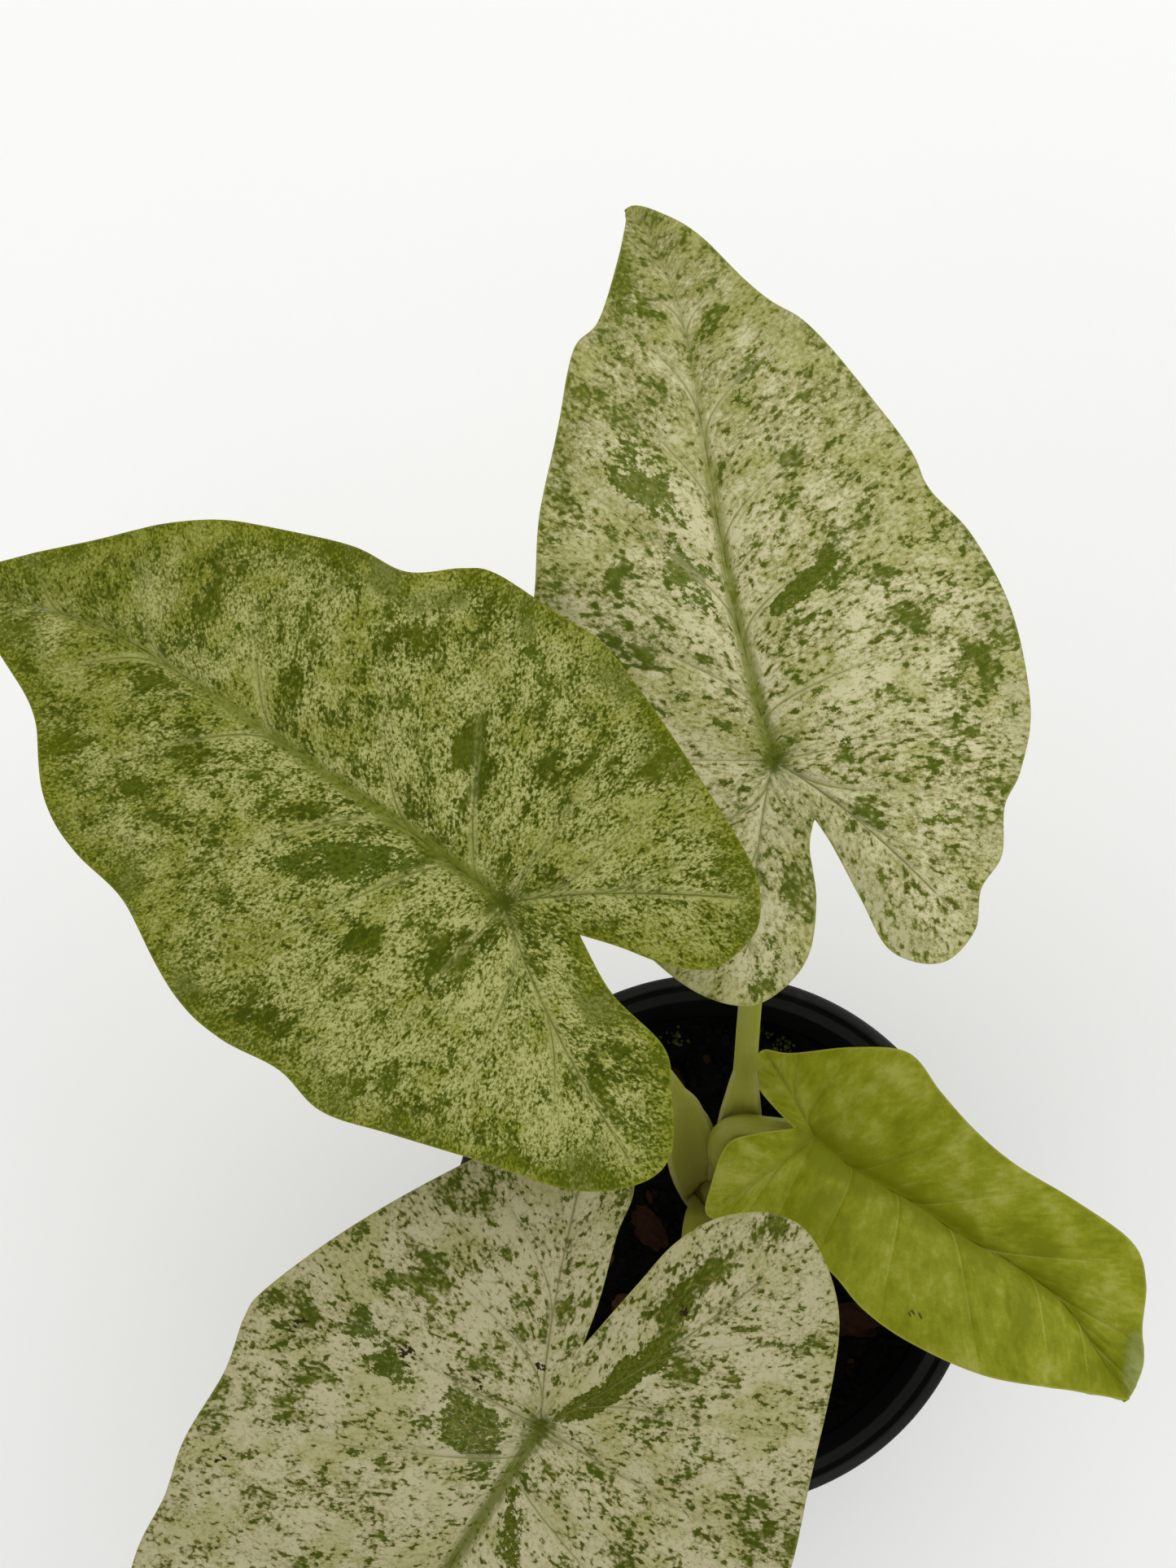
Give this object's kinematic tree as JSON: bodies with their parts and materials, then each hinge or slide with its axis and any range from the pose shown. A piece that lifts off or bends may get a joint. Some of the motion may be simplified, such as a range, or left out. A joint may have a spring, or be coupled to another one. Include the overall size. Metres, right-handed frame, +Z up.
{
  "type": "potted alocasia plant",
  "caption": "Young variegated elephant-ear plant in a round plastic nursery pot: mottled heart-shaped leaves on sheathed stalks, standing upright in dark potting mix.",
  "frame": {"origin": "centre of the pot's underside", "axes": "+Z up out of the pot, +Y the long way of the leaves' spread, +X to the right of it seen from above"},
  "size_m": [0.223, 0.3415, 0.2209],
  "materials": {
    "pot": "satin moulded plastic",
    "potting_mix": "damp crumbs and bark",
    "stems": "smooth living stalk, satin",
    "blade_mottled": "living leaf, satin, mottled cream and green",
    "blade_young": "new leaf, satin, lime green"
  },
  "bodies": {
    "root": {"pot": "pot", "potting_mix": "potting_mix", "stems": "stems", "blade_upper": "blade_mottled", "blade_left": "blade_mottled", "blade_lower": "blade_mottled", "blade_young": "blade_young"}
  },
  "joints": []
}
